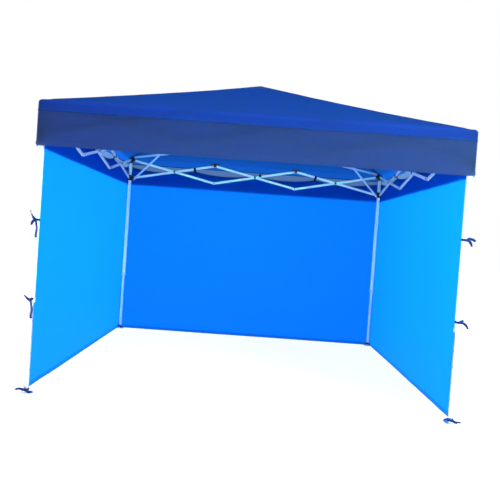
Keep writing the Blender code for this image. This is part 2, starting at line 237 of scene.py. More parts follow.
def cloth_material(name, colour, lit, share, roughness=0.62, sheen=0.1,
                   grey=None, mottle=0.07, gloss=0.1):
    """Woven cloth: colour where light falls on it, lit where light comes through it.

    share is how much of it is the lit part, and grey is the colour of the sheen.
    """
    made, tree, shader = shader_tree(name)
    uv = node(tree, "ShaderNodeUVMap", uv_map="cloth").outputs[0]
    slub = node(tree, "ShaderNodeMapping")
    feed(slub, {"Vector": uv, "Scale": (9.0, 420.0, 1.0)})
    broad = math_node(tree, "MULTIPLY", noise_node(tree, uv, 1.7, 4.0, 0.6), 0.3)
    fine = math_node(tree, "MULTIPLY", noise_node(tree, uv, 34.0, 5.0, 0.62), 0.3)
    threads = noise_node(tree, slub.outputs[0], 1.0, 2.0, 0.5)
    threads = math_node(tree, "MULTIPLY", threads, 0.4)
    tone = math_node(tree, "ADD", math_node(tree, "ADD", broad, fine), threads)
    creases = noise_node(tree, uv, 6.5, 5.0, 0.6)
    normal = bump_node(tree, creases, 0.3, CREASE_DEPTH)
    normal = bump_node(tree, weave_height(tree, uv), 0.35, THREAD_DEPTH, normal)
    feed(shader, {
        "Base Color": colour_ramp(tree, tone, mottled(colour, mottle)),
        "Roughness": roughness,
        "Specular IOR Level": gloss,
        "Sheen Weight": sheen,
        "Sheen Roughness": 0.45,
        "Sheen Tint": (*(grey or scaled(colour, 2.0)), 1),
        "Normal": normal,
    })
    through = node(tree, "ShaderNodeBsdfTranslucent")
    feed(through, {"Color": colour_ramp(tree, tone, mottled(lit, mottle / 2)), "Normal": normal})
    mix = node(tree, "ShaderNodeMixShader")
    feed(mix, {0: share, 1: shader.outputs[0], 2: through.outputs[0]})
    feed(tree.nodes["Material Output"], {"Surface": mix.outputs[0]})
    return made


def powder_coat():
    made, tree, shader = shader_tree("white_powder")
    at = object_place(tree)
    peel = noise_node(tree, at, 420.0, 2.0)
    scuff = noise_node(tree, at, 26.0, 6.0, 0.7)
    # Painted light: the white is tinted blue-green as if lit by the blue walls; the darker stop is scuffs.
    stops = ((0.30, (0.50, 0.58, 0.60)), (0.37, (0.71, 0.83, 0.86)), (0.70, (0.77, 0.89, 0.92)))
    feed(shader, {
        "Base Color": colour_ramp(tree, scuff, stops),
        "Roughness": math_node(tree, "MULTIPLY_ADD", scuff, 0.22, 0.24),
        "Coat Weight": 0.12,
        "Coat Roughness": 0.3,
        "Normal": bump_node(tree, peel, 0.12, 0.0006),
    })
    return made


def moulded_nylon():
    made, tree, shader = shader_tree("black_nylon_detail")
    at = object_place(tree)
    grain = noise_node(tree, at, 900.0, 3.0)
    wear = noise_node(tree, at, 60.0, 5.0, 0.65)
    stops = (
        (0.35, (0.008, 0.008, 0.010)),
        (0.62, (0.020, 0.020, 0.023)),
        (0.78, (0.055, 0.055, 0.06)),
    )
    feed(shader, {
        "Base Color": colour_ramp(tree, wear, stops),
        "Roughness": math_node(tree, "MULTIPLY_ADD", grain, 0.25, 0.33),
        "Normal": bump_node(tree, grain, 0.3, 0.0004),
    })
    return made


def zinc_plate():
    made, tree, shader = shader_tree("zinc_detail")
    at = object_place(tree)
    spangle = noise_node(tree, at, 120.0, 4.0, 0.6)
    drawn = node(tree, "ShaderNodeMapping")
    feed(drawn, {"Vector": at, "Scale": (300.0, 300.0, 6.0)})
    lines = noise_node(tree, drawn.outputs[0], 1.0, 2.0)
    stops = ((0.3, (0.62, 0.64, 0.66)), (0.55, (0.74, 0.76, 0.78)), (0.8, (0.82, 0.84, 0.86)))
    feed(shader, {
        "Base Color": colour_ramp(tree, spangle, stops),
        "Metallic": 1.0,
        "Roughness": math_node(tree, "MULTIPLY_ADD", lines, 0.3, 0.24),
        "Normal": bump_node(tree, lines, 0.2, 0.0003),
    })
    return made


def plain_finish(name, colour, roughness):
    made, tree, shader = shader_tree(name)
    at = object_place(tree)
    grain = noise_node(tree, at, 700.0, 3.0)
    stain = noise_node(tree, at, 35.0, 5.0, 0.6)
    stops = ((0.35, scaled(colour, 0.82)), (0.55, colour), (0.75, scaled(colour, 1.12)))
    feed(shader, {
        "Base Color": colour_ramp(tree, stain, stops),
        "Roughness": roughness,
        "Normal": bump_node(tree, grain, 0.25, 0.0004),
    })
    return made


def floor_material():
    made, tree, shader = shader_tree("floor_white")
    stops = ((0.3, (0.30, 0.30, 0.30)), (0.7, (0.33, 0.33, 0.33)))
    feed(shader, {
        "Base Color": colour_ramp(tree, noise_node(tree, object_place(tree), 0.8), stops),
        "Roughness": 0.9,
        "Specular IOR Level": 0.1,
        "Emission Color": (1, 1, 1, 1),
        "Emission Strength": 0.90,
    })
    return made


# ---------------- mesh helpers

def spot(point):
    """A key that is the same for points in the same place."""
    return tuple(round(value, 5) for value in point)


def newell(points):
    """A face's normal, twice as long as its area."""
    total = Vector((0, 0, 0))
    for here, there in zip(points, points[1:] + points[:1]):
        total += here.cross(there)
    return total


def shared_normals(patches):
    """One normal per place over all the patches, so that pieces that meet shade as one cloth."""
    totals = {}
    for points, faces, _ in patches:
        for face in faces:
            area = newell([points[i] for i in face])
            for i in face:
                key = spot(points[i])
                totals[key] = totals.get(key, Vector((0, 0, 0))) + area
    return {key: total.normalized() for key, total in totals.items()}


def cloth_solid(name, patch, thickness, mat, normals=None):
    """A closed thin sheet round the patch (points, faces, cloth coordinates)."""
    points, faces, coords = patch
    known = normals or shared_normals([patch])
    facing = [known[spot(p)] for p in points]
    count = len(points)
    half = thickness / 2
    verts = [p + n * half for p, n in zip(points, facing)]
    verts += [p - n * half for p, n in zip(points, facing)]
    made = [tuple(face) for face in faces]
    made += [tuple(i + count for i in reversed(face)) for face in faces]
    edges = set()
    for face in faces:
        edges.update(zip(face, tuple(face[1:]) + tuple(face[:1])))
    skin = len(made)
    made += [(b, a, a + count, b + count) for a, b in sorted(edges) if (b, a) not in edges]
    mesh = bpy.data.meshes.new(name)
    mesh.from_pydata(verts, [], made)
    layer = mesh.uv_layers.new(name="cloth")
    loop_normals = []
    for polygon in mesh.polygons:
        polygon.use_smooth = True
        for loop in polygon.loop_indices:
            at = mesh.loops[loop].vertex_index
            layer.data[loop].uv = coords[at % count]
            if polygon.index >= skin:
                loop_normals.append(polygon.normal.copy())
            else:
                loop_normals.append(facing[at] if at < count else -facing[at - count])
    mesh.normals_split_custom_set(loop_normals)
    mesh.materials.append(mat)
    return add_object(name, mesh)


def grid_faces(columns, rows):
    faces = []
    for i in range(columns - 1):
        for j in range(rows - 1):
            at = i * rows + j
            faces.append((at, at + rows, at + rows + 1, at + 1))
    return faces


def plain_mesh(name, verts, faces, mat, smooth=False):
    mesh = bpy.data.meshes.new(name)
    mesh.from_pydata(verts, [], faces)
    for polygon in mesh.polygons:
        polygon.use_smooth = smooth
    mesh.materials.append(mat)
    return add_object(name, mesh)


def softened(obj, width):
    """The object with rounded edges."""
    step = obj.modifiers.new("soft_edges", "BEVEL")
    step.width = width
    step.segments = 2
    step.limit_method = "ANGLE"
    step.angle_limit = math.radians(35)
    for polygon in obj.data.polygons:
        polygon.use_smooth = True
    step.harden_normals = True
    return obj


def joined(name, parts, mat, smooth=False):
    """One mesh from several (verts, faces)."""
    verts, faces = [], []
    for part_verts, part_faces in parts:
        base = len(verts)
        verts += part_verts
        faces += [tuple(i + base for i in face) for face in part_faces]
    return plain_mesh(name, verts, faces, mat, smooth)


def ring_faces(rings, size, shut=False):
    """Quads between rings of size points. shut joins the last ring to the first."""
    faces = []
    for i in range(rings if shut else rings - 1):
        here, there = i * size, (i + 1) % rings * size
        for k in range(size):
            nxt = (k + 1) % size
            faces.append((here + k, here + nxt, there + nxt, there + k))
    return faces


def lathe(profile, at, axis, sides):
    """Round form from (radius, distance along axis), closed at both ends."""
    axis = Vector(axis).normalized()
    first = axis.orthogonal().normalized()
    second = axis.cross(first)
    verts = []
    for radius, along in profile:
        for k in range(sides):
            turn = 2 * math.pi * k / sides
            away = first * math.cos(turn) + second * math.sin(turn)
            verts.append(at + axis * along + away * radius)
    faces = ring_faces(len(profile), sides)
    faces.append(tuple(reversed(range(sides))))
    faces.append(tuple(range(len(verts) - sides, len(verts))))
    return verts, faces


def band(path, across, width, thick, shut=False):
    """A flat strip along a path. across gives its width direction at each point."""
    verts = []
    count = len(path)
    for i, point in enumerate(path):
        if shut:
            ahead = path[(i + 1) % count] - path[i - 1]
        else:
            ahead = path[min(i + 1, count - 1)] - path[max(i - 1, 0)]
        forward = ahead.normalized()
        side = across[i] - forward * across[i].dot(forward)
        side = side.normalized() * width / 2
        lift = ahead.cross(side).normalized() * thick / 2
        verts += [point - side - lift, point + side - lift]
        verts += [point + side + lift, point - side + lift]
    faces = ring_faces(count, 4, shut)
    if not shut:
        faces.append((3, 2, 1, 0))
        faces.append(tuple(range(4 * count - 4, 4 * count)))
    return verts, faces


def block(low, high, axes=None, at=Vector((0, 0, 0))):
    """A box between two corners given along axes (across, out, up) from a point."""
    a, b, c = axes or (Vector((1, 0, 0)), Vector((0, 1, 0)), UP)
    verts = []
    for z in (low[2], high[2]):
        for x, y in ((low[0], low[1]), (high[0], low[1]), (high[0], high[1]), (low[0], high[1])):
            verts.append(at + a * x + b * y + c * z)
    faces = [(3, 2, 1, 0), (4, 5, 6, 7)]
    faces += [(k, (k + 1) % 4, (k + 1) % 4 + 4, k + 4) for k in range(4)]
    return verts, faces


def smooth_path(points, steps):
    """Points along a Catmull-Rom curve."""
    padded = [points[0] * 2 - points[1]] + points + [points[-1] * 2 - points[-2]]
    path = []
    for i in range(1, len(padded) - 2):
        a, b, c, d = padded[i - 1:i + 3]
        for k in range(steps):
            t = k / steps
            path.append(0.5 * (
                2 * b + (c - a) * t + (2 * a - 5 * b + 4 * c - d) * t ** 2
                + (3 * b - a - 3 * c + d) * t ** 3))
    path.append(points[-1])
    return path


# ---------------- cover

SLOPE = (PEAK - EAVE) / HALF
SLOPE_LONG = math.hypot(1, SLOPE)  # length along the slope for each metre of plan
HIP_SOFT = 0.016  # rounding of the hips
PANEL_SAG = 0.034
HIP_SAG = 0.012
ROOF_RIPPLE = 0.004  # broad unevenness of the roof
ROOF_PULL = 0.0016  # small puckers
CELLS = 60
LIP = 1.38  # the roof inside this rides on the roof arms, the rest on the legs
STEP = LIP / CELLS
TIP_CELLS = 6  # the peak patch covers this many cells
SPLIT_CELLS = 58  # where outer and inner roof pieces meet, cells from the peak
CLOTH = 0.0011  # thickness
EAVE_HALF = HALF - 0.0045  # the valance stands out beyond HALF at its hem
CORNER_R = 0.008
BEND_R = 0.026  # the cover's bend over the eave
BEND_START = math.atan(SLOPE)
FLARE = 0.009  # how far the hem stands out from the eave
HEM_BAND = 0.030
SEAM_UP = 0.242  # eave seam above the hem
LIP_ROWS, BEND_ROWS, UPPER_ROWS, LOWER_ROWS = 5, 8, 4, 11
PIPING_DEEP = 0.0074
# piping at the eave seam: down from the seam, outward
PIPING = ((-0.0008, 0.0), (0.0, 0.0020), (0.0040, 0.0025), (0.0068, 0.0021), (0.0078, 0.0))
# folded hem: up from the hem, outward
HEM_FOLD = ((HEM_BAND - 0.0015, 0.0014), (HEM_BAND * 0.5, 0.0018), (0.003, 0.0015), (0.0, 0.0004))
CORNER_SHARES = (0.9885, 0.9915, 0.9940, 0.9960, 0.9980, 1.0)  # columns round a corner
STILL_SHARE = 0.07  # part of a half side over which the waves die out at a corner
HEM_DRAPE = 0.0045  # broad waves of the valance
HEM_CREASE = 0.0016  # small waves
HEM_WAVE = 0.0035  # height of the hem's waves
HEM_INWARD = 0.0004  # the most that the valance hangs inward
CORNER_RISE = 0.012  # how far the hem rises at a corner
EAVE_DIP = 0.004


def roof_z(x, y):
    """Height of the roof: a pyramid with soft hips that sags between them."""
    a, b = abs(x), abs(y)
    far = 0.5 * (a + b + math.sqrt((a - b) ** 2 + HIP_SOFT ** 2))
    out = min(1.0, far / HALF)
    side = min(a, b) / max(a, b, 1e-6)
    sag = PANEL_SAG * (1 - side ** 2) * math.sin(math.pi * out ** 1.15)
    sag += HIP_SAG * math.sin(math.pi * out)
    calm = math.sin(math.pi * min(1.0, out * 1.02)) ** 0.6 if out < 0.98 else 0.0
    ripple = ROOF_RIPPLE * noise.noise(Vector((x * 1.6, y * 1.6, 3.1)))
    pull = ROOF_PULL * noise.noise(Vector((x * 6.0, y * 6.0, 9.2)))
    return PEAK - SLOPE * far - sag + calm * (ripple + pull)


def roof_patch(sx, sy, keep):
    """A quarter of the roof, where keep(cells from the peak) is true, as a patch."""
    points, coords, index, faces = [], [], {}, []

    def corner(i, j):
        if (i, j) not in index:
            x, y = sx * i * STEP, sy * j * STEP
            index[i, j] = len(points)
            points.append(Vector((x, y, roof_z(x, y))))
            coords.append((x, y * SLOPE_LONG) if j > i else (x * SLOPE_LONG, y))
        return index[i, j]

    def add(cells):
        face = [corner(i, j) for i, j in cells]
        faces.append(tuple(face if sx * sy > 0 else reversed(face)))

    for i in range(CELLS):
        for j in range(CELLS):
            here, right, back, far = (i, j), (i + 1, j), (i, j + 1), (i + 1, j + 1)
            if i == j:  # cut along the hip
                if keep(2 * i + 1):
                    add((here, right, far))
                    add((here, far, back))
            elif i + j + 1 in (SPLIT_CELLS, TIP_CELLS):  # cut where two pieces meet
                if keep(i + j + 0.5):
                    add((here, right, back))
                if keep(i + j + 1.5):
                    add((right, far, back))
            elif keep(i + j + 1):
                add((here, right, far, back))
    return points, faces, coords


def ring_point(share, half, radius):
    """Along and outward on a rounded square, share 0 at mid side and 1 at the corner."""
    along = share * half
    start = half - radius
    if along <= start or radius <= 0:
        return along, half
    turn = (along - start) / radius * math.pi / 4
    return start + radius * math.sin(turn), start + radius * math.cos(turn)


def eave_rows():
    """Rows from the roof's lip down to the hem.

    Each is (half width, corner radius, height, hang): the height is None on the roof, and
    hang goes from 0 at the eave to 1 at the hem band.
    """
    start = EAVE_HALF - BEND_R * (1 - math.sin(BEND_START)) - 0.0004
    rows = []
    for k in range(LIP_ROWS):
        t = k / LIP_ROWS
        rows.append((LIP + (start - LIP) * t, CORNER_R * t, None, 0.0))
    centre_z = PEAK - SLOPE * start - BEND_R * math.cos(BEND_START)
    centre = start - BEND_R * math.sin(BEND_START)
    for k in range(BEND_ROWS):
        turn = (math.pi / 2 - BEND_START) * (1 - k / (BEND_ROWS - 1))
        z = centre_z + BEND_R * math.sin(turn)
        rows.append((centre + BEND_R * math.cos(turn), CORNER_R, z, 0.0))
    face = centre + BEND_R
    seam = HEM_Z + SEAM_UP
    depth = centre_z - HEM_Z - HEM_BAND
    for k in range(1, UPPER_ROWS):
        z = centre_z + (seam + 0.004 - centre_z) * k / UPPER_ROWS
        rows.append((face, CORNER_R, z, (centre_z - z) / depth))
    for down, out in PIPING:
        rows.append((face + out, CORNER_R, seam - down, (centre_z - seam + down) / depth))
    top = seam - PIPING[-1][0]
    for k in range(1, LOWER_ROWS + 1):
        z = top + (HEM_Z + HEM_BAND - top) * k / LOWER_ROWS
        rows.append((face, CORNER_R, z, (centre_z - z) / depth))
    for up, out in HEM_FOLD:
        rows.append((face + out, CORNER_R, HEM_Z + up, 1.0))
    return rows


def eave_patch(side, corner, rows, shares):
    """Half a side of the eave and valance, from mid side to the corner, as a patch."""
    first, _, along, outward = SIDES[side]
    away = -along if corner == first else along
    which = list(SIDES).index(side)
    points, coords = [], []
    for share in shares:
        run = 0.0
        last = None
        for half, radius, z, hang in rows:
            a, out = ring_point(share, half, radius)
            place = away * a + outward * out
            if z is None:
                z = roof_z(place.x, place.y)
            else:
                world = (away * a).dot(along)
                calm = min(1.0, (1 - share) / STILL_SHARE)
                broad = noise.noise(Vector((world * 2.3, which * 5.0, 0.4)))
                small = noise.noise(Vector((world * 7.5, z * 5.0, which * 3.0)))
                drape = FLARE * hang + HEM_DRAPE * hang * broad
                drape += HEM_CREASE * hang * small
                place += outward * max(drape * calm, -HEM_INWARD)
                if hang >= 1.0:
                    z += HEM_WAVE * calm * noise.noise(Vector((world * 1.7, which * 7.0, 2.2)))
                    edge = max(0.0, 1 - (half - a) / 0.035)
                    z += CORNER_RISE * edge ** 2 * max(0.0, 1 - (z - HEM_Z) / 0.05)
                z -= EAVE_DIP * (1 - share ** 2) * (1 - hang)
            point = Vector((place.x, place.y, z))
            if last is not None:
                run += (point - last).length
            last = point
            points.append(point)
            coords.append(((away * a).dot(along), run))
    faces = grid_faces(len(shares), len(rows))
    if away.cross(outward).z < 0:
        faces = [tuple(reversed(face)) for face in faces]
    return points, faces, coords


PATCH_HALF = 0.135
PATCH_CELLS = 14
PATCH_LIFT = 0.0022
TAPE_HALF = 0.014
TAPE_LIFT = 0.0019
# across a tape: share of its half width, share of its lift; the dips are lines of stitching
TAPE_PROFILE = (
    (-1.0, 0.0), (-0.93, 1.0), (-0.80, 1.0), (-0.74, 0.45), (-0.25, 1.0), (0.0, 1.1),
    (0.25, 1.0), (0.74, 0.45), (0.80, 1.0), (0.93, 1.0), (1.0, 0.0),
)


def peak_patch():
    """The doubled square of cloth at the peak."""
    points, coords = [], []
    step = 2 * PATCH_HALF / PATCH_CELLS
    for i in range(PATCH_CELLS + 1):
        for j in range(PATCH_CELLS + 1):
            x, y = -PATCH_HALF + i * step, -PATCH_HALF + j * step
            rim = PATCH_HALF - max(abs(x), abs(y)) < step * 0.5
            lift = PATCH_LIFT * (0.55 if rim else 1.0)
            points.append(Vector((x, y, roof_z(x, y) + lift)))
            coords.append((x, y))
    return points, grid_faces(PATCH_CELLS + 1, PATCH_CELLS + 1), coords


def hip_tape(corner, start, end):
    """Binding folded over a hip, between two distances from the middle along X."""
    sx, sy = CORNERS[corner]
    count = max(2, int((end - start) / 0.02))
    points, coords = [], []
    for i in range(count + 1):
        along = start + (end - start) * i / count
        for share, rise in TAPE_PROFILE:
            off = share * TAPE_HALF * math.sqrt(0.5)
            x, y = sx * (along + off), sy * (along - off)
            lift = TAPE_LIFT * (0.45 + 0.55 * rise)
            if end > LIP and i > count - 2:
                lift = -0.003  # the end is sewn into the eave
            points.append(Vector((x, y, roof_z(x, y) + lift)))
            coords.append((along * math.sqrt(2), share * TAPE_HALF))
    faces = grid_faces(count + 1, len(TAPE_PROFILE))
    if sx * sy > 0:
        faces = [tuple(reversed(face)) for face in faces]
    return points, faces, coords


def make_trim():
    patch = cloth_solid("peak_patch", peak_patch(), CLOTH, DOUBLE_CLOTH)
    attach(patch, "hub")
    inner, split = TIP_CELLS * STEP / 2, SPLIT_CELLS * STEP / 2
    for corner, (sx, sy) in CORNERS.items():
        for part, body, start, end in (
            ("inner", "rib_inner_", inner, split),
            ("outer", "rib_outer_", split, LIP),
            ("corner", "leg_", LIP, HALF - BEND_R),
        ):
            shape = hip_tape(corner, start, end)
            tape = cloth_solid("hip_tape_%s_%s" % (part, corner), shape, CLOTH, DOUBLE_CLOTH)
            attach(tape, body + corner)
            if part != "corner":
                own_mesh(tape)


def make_cover():
    quarter = {}
    for corner, (sx, sy) in CORNERS.items():
        quarter["roof_inner_" + corner] = roof_patch(sx, sy, lambda n: TIP_CELLS < n < SPLIT_CELLS)
        quarter["roof_outer_" + corner] = roof_patch(sx, sy, lambda n: n > SPLIT_CELLS)
    rows = eave_rows()
    shares = [k / CELLS for k in range(CELLS)] + list(CORNER_SHARES)
    eaves = {}
    for side, (first, second, _, _) in SIDES.items():
        for corner in (first, second):
            eaves["valance_%s_%s" % (side, corner)] = eave_patch(side, corner, rows, shares)
    normals = shared_normals(list(quarter.values()) + list(eaves.values()))
    seam_z = HEM_Z + SEAM_UP
    made = {}
    for name, patch in quarter.items():
        made[name] = cloth_solid(name, patch, CLOTH, COVER_CLOTH, normals)
        corner = name[-2:]
        body = "rib_inner_" if "inner" in name else "rib_outer_"
        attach(made[name], body + corner)
        sx, sy = CORNERS[corner]
        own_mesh(made[name])
        area_of(patch)
    for name, patch in eaves.items():
        # the valance takes the darker copy of the cover cloth, which is painted shade
        made[name] = cloth_solid(name, patch, CLOTH, VALANCE_SHADED_CLOTH, normals)
        # above the seam: the lighter copy of the cover cloth, painted light on the eave band
        made[name].data.materials.append(EDGE_LIT_CLOTH)
        # just below the seam: the piping, darker partly by its own colour and partly by painted shadow
        made[name].data.materials.append(PIPING_SHADOW_CLOTH)
        for polygon in made[name].data.polygons:
            above = polygon.center.z - seam_z
            polygon.material_index = 1 if above > 0 else 2 if above > -PIPING_DEEP else 0
        side, corner = name.split("_")[1:]
        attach(made[name], "leg_" + corner)
        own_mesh(made[name])
    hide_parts("canopy_cover")


def area_of(patch):
    points, faces, _ = patch
    return sum(newell([points[i] for i in face]).length for face in faces) / 2


# ---------------- walls

WALL_THICK = 0.0008
WALL_FACE = WALL_LOW[1] + 0.0009
WALL_REACH = 1.4757  # end of the back wall, which laps the ends of the side walls
SIDE_REACH = 1.4740
FRONT_EDGE = 1.434
HANG_AT = (0.0, 0.704, 1.44)  # where straps hold the top edge, from the middle
HANGERS = (-1.44, -0.704, 0.0, 0.704, 1.44)
WALL_BOTTOM = WALL_LOW[2] - 0.010
WALL_TOP = WALL_HIGH[2] - 0.012
TOP_SAG = 0.040
WALL_COLUMNS, WALL_ROWS = 121, 76
END_HEM = 0.026  # width of the hems at a wall's ends
LONG_HEM = 0.034  # height of the hems at its top and bottom
HEM_LIFT = 0.0006
WALL_SWELL = 0.011  # how far the hanging cloth bellies out
WALL_PLEAT = 0.0022
WALL_FAN = 0.0011  # folds that fan out from a strap


def top_sag(at):
    """How far the wall's top edge hangs below its straps."""
    away = abs(at)
    for low, high in zip(HANG_AT, HANG_AT[1:]):
        if away <= high:
            t = (away - low) / (high - low)
            return TOP_SAG * math.sin(math.pi * t) ** 0.8
    return 0.0


def wall_patch(side):
    """A hanging wall as a patch, in columns along its side."""
    _, _, along, outward = SIDES[side]
    start = -WALL_REACH if side == "back" else -SIDE_REACH
    end = WALL_REACH if side == "back" else FRONT_EDGE
    which = list(SIDES).index(side)
    heights = [0.0, 0.001, 0.016, 0.018]
    heights += [0.018 + (1 - 0.036) * (k / WALL_ROWS) for k in range(1, WALL_ROWS)]
    heights += [0.982, 0.984, 0.999, 1.0]
    points, coords = [], []
    inner = (end - start - 2 * END_HEM) / (WALL_COLUMNS - 3)
    places = [start, *(start + END_HEM + inner * i for i in range(WALL_COLUMNS - 2)), end]
    for at in places:
        edge = min(1.0, min(at - start, end - at) / 0.10)
        for h in heights:
            top = WALL_TOP - top_sag(at)
            z = WALL_BOTTOM + (top - WALL_BOTTOM) * h
            depth = (top - z) / (top - WALL_BOTTOM)
            free = min(1.0, max(0.0, (HEM_Z - 0.02 - z) / 0.35))
            wave = 0.5 + 0.5 * noise.noise(Vector((at * 1.25, z * 0.45, which * 4.0)))
            swell = WALL_SWELL * free * edge * wave
            folds = noise.noise(Vector((at * 5.0, z * 0.7, which * 9.0 + 2)))
            pleat = WALL_PLEAT * free * folds
            fan = 0.0
            for hang in HANGERS:
                reach = max(0.0, 1 - depth / 0.30)
                lean = (at - hang) / (0.05 + depth * 0.9)
                fan += WALL_FAN * reach * math.cos(lean * 9.0) * math.exp(-lean * lean) * edge
            out = WALL_FACE + swell + pleat * edge + fan * (0.4 + 0.6 * free)
            if h <= 0.016 or h >= 0.984 or min(at - start, end - at) < 0.020:
                out += HEM_LIFT
            place = along * at + outward * out
            points.append(Vector((place.x, place.y, z)))
            coords.append((at, z))
    faces = grid_faces(WALL_COLUMNS, len(heights))
    if along.cross(UP).dot(outward) < 0:
        faces = [tuple(reversed(face)) for face in faces]
    return points, faces, coords


def make_walls():
    for side, corner in (("back", "bl"), ("left", "bl"), ("right", "br")):
        patch = wall_patch(side)
        wall = cloth_solid("wall_cloth_" + side, patch, WALL_THICK, WALL_CLOTH)
        along = SIDES[side][2]
        wall.data.materials.append(WALL_HEM_CLOTH)
        places = [at for at, _ in patch[2]]
        start, end = min(places), max(places)
        for polygon in wall.data.polygons:
            at = polygon.center.dot(along)
            z = polygon.center.z
            top = WALL_TOP - top_sag(at)
            in_end = min(at - start, end - at) < END_HEM
            in_long = z < WALL_BOTTOM + LONG_HEM or z > top - LONG_HEM
            polygon.material_index = int(in_end or in_long)
        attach(wall, "leg_" + corner)
        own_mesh(wall)
        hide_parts("wall_" + side)


# ---------------- small fittings

BAY = 2 * (SPAN - abs(SPAN + JOINTS["fold"]["pos_m"][0])) / 3  # pin to pin along a side
PIN_HEAD = 0.0154  # outside of the truss pins' heads from the leg plane
BAR_PLANE = 0.0064  # middle of a truss bar from the leg plane
PIN_MIDDLE = (TOP_PIN + LOW_PIN) / 2
# push-on cap: share of its radius, outward from the pin's head
CAP_PROFILE = ((0.96, -0.0026), (1.0, 0.0006), (0.92, 0.0022), (0.62, 0.0036), (0.2, 0.0041))
CROSS_CAP, TOP_CAP, LOW_CAP = 0.0118, 0.0090, 0.0062  # radius of a cap by its place


def side_point(side, at, z, out=0.0):
    """A point on a side of the frame: along it from its middle, up, and out of the leg plane."""
    _, _, along, outward = SIDES[side]
    place = along * at + outward * (SPAN + out)
    return Vector((place.x, place.y, z))


def ride_with(obj, body):
    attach(obj, body)
    return obj


def make_bolt_caps():
    """Black push-on caps over the heads of the truss pins."""
    for side in SIDES:
        outward = SIDES[side][3]
        for i in range(3):
            places = [(i - 1, PIN_MIDDLE, CROSS_CAP)]
            if i > 0:
                places.append((i - 1.5, TOP_PIN, TOP_CAP))
            if i < 2:
                places.append((i - 0.5, LOW_PIN, LOW_CAP))
            parts = []
            for bays, z, radius in places:
                profile = [(share * radius, out) for share, out in CAP_PROFILE]
                for face in (1, -1):
                    at = side_point(side, bays * BAY, z, face * PIN_HEAD)
                    parts.append(lathe(profile, at, outward * face, 18))
            caps = joined("bolt_caps_%s_%d" % (side, i + 1), parts, NYLON, smooth=True)
            ride_with(softened(caps, 0.0004), "bar_%s_b%d" % (side, i + 1))


SADDLE_HALF = 0.050
SADDLE_TOP = 1.9915
SADDLE_FACES = PIN_HEAD + 0.0043, PIN_HEAD + 0.0062  # inside and outside of its side plates


def mirrored(near, far, way):
    """A range on one side of the middle plane or the other, low end first."""
    return (near, far) if way > 0 else (-far, -near)


def saddle_boxes():
    """Opposite corners (along, outward, up) of the blocks under a saddle's curved top."""
    near, far = SADDLE_FACES
    top = SADDLE_TOP
    boxes = []
    for way in (1, -1):
        low, high = mirrored(near, far, way)
        boxes.append(((-0.017, low, TOP_PIN - 0.014), (0.017, high, top - 0.014)))
        low, high = mirrored(0.010, far, way)
        boxes.append(((-0.015, low, top - 0.0168), (0.015, high, top - 0.0138)))
    for way in (-1, 1):
        low, high = mirrored(0.030, SADDLE_HALF - 0.001, way)
        boxes.append(((low, -0.0120, top - 0.030), (high, 0.0120, top - 0.010)))
    boxes.append(((-0.031, -0.0120, top - 0.0165), (0.031, 0.0120, top - 0.0085)))
    return boxes


def make_saddles():
    """T-shaped plastic saddles on the upper truss nodes, which carry the cloth's edge."""
    for side in SIDES:
        _, _, along, outward = SIDES[side]
        axes = (along, outward, UP)
        for i in (1, 2):
            base = side_point(side, (i - 1.5) * BAY, 0.0)
            path = []
            for k in range(13):
                t = -1 + k / 6
                z = SADDLE_TOP - 0.0065 - 0.006 * t * t
                path.append(base + along * (t * SADDLE_HALF) + UP * z)
            parts = [band(path, [outward] * len(path), 0.025, 0.0045)]
            parts += [block(low, high, axes, base) for low, high in saddle_boxes()]
            saddle = joined("saddle_%s_%d" % (side, i), parts, NYLON)
            ride_with(softened(saddle, 0.0010), "bar_%s_b%d" % (side, i + 1))


STRAP_WIDE = 0.026
STRAP_THICK = 0.0018
STRAP_SHIFT = 0.06  # the middle strap hangs beside the crossing


def strap_loop(wall_out):
    """(outward, up) round a bar, from the wall's cloth at wall_out and back to it."""
    return [
        (wall_out, -0.040), (wall_out, -0.028), (wall_out - 0.002, -0.016),
        (0.0105, -0.0145), (0.0, -0.0150), (-0.0090, -0.0135), (-0.0098, 0.0),
        (-0.0088, 0.0145), (0.0, 0.0160), (0.0090, 0.0145),
        (wall_out - 0.004, 0.006), (wall_out - 0.0022, -0.010), (wall_out - 0.0022, -0.032),
    ]


def make_straps():
    """Hook and loop straps that hang the walls from the truss bars."""
    quarter = 0.75 * BAY
    rise = TOP_PIN - LOW_PIN
    slope = math.atan2(rise, BAY)
    # along the side, bar, its tilt, which of the two planes it lies in
    places = ((-quarter, "a1", slope, 1), (0.0, "a2", slope, 1), (quarter, "b3", -slope, -1))
    for side in ("back", "left", "right"):
        _, _, along, outward = SIDES[side]
        for at, bar, tilt, plane in places:
            z = PIN_MIDDLE + 0.25 * rise if at else PIN_MIDDLE + 0.014
            shift = 0.0 if at else STRAP_SHIFT
            z += shift * math.tan(slope)
            centre = side_point(side, at + shift, z, plane * BAR_PLANE)
            direction = (along * math.cos(tilt) + UP * math.sin(tilt)).normalized()
            lift = outward.cross(direction).normalized()
            lift = lift if lift.z > 0 else -lift
            loop = strap_loop(WALL_FACE - SPAN - plane * BAR_PLANE - 0.0022)
            path = smooth_path([centre + outward * a + lift * b for a, b in loop], 3)
            strip = band(path, [direction] * len(path), STRAP_WIDE, STRAP_THICK)
            strap = joined("strap_%s_%s" % (side, bar), [strip], STRAP_CLOTH)
            ride_with(softened(strap, 0.0005), "bar_%s_%s" % (side, bar))


# ferrule: half width, height above the outer tube's end
FERRULE_PROFILE = (
    (0.0164, 0.0004), (0.0186, 0.0004), (0.0190, 0.002),
    (0.0190, 0.030), (0.0182, 0.0335), (0.0164, 0.0335),
)
# radius, outward
BUTTON_PROFILE = ((0.0048, -0.0012), (0.0048, 0.0035), (0.0040, 0.0052), (0.0022, 0.0062))
RIM_PROFILE = ((0.0066, -0.0004), (0.0066, 0.0006), (0.0052, 0.0011))
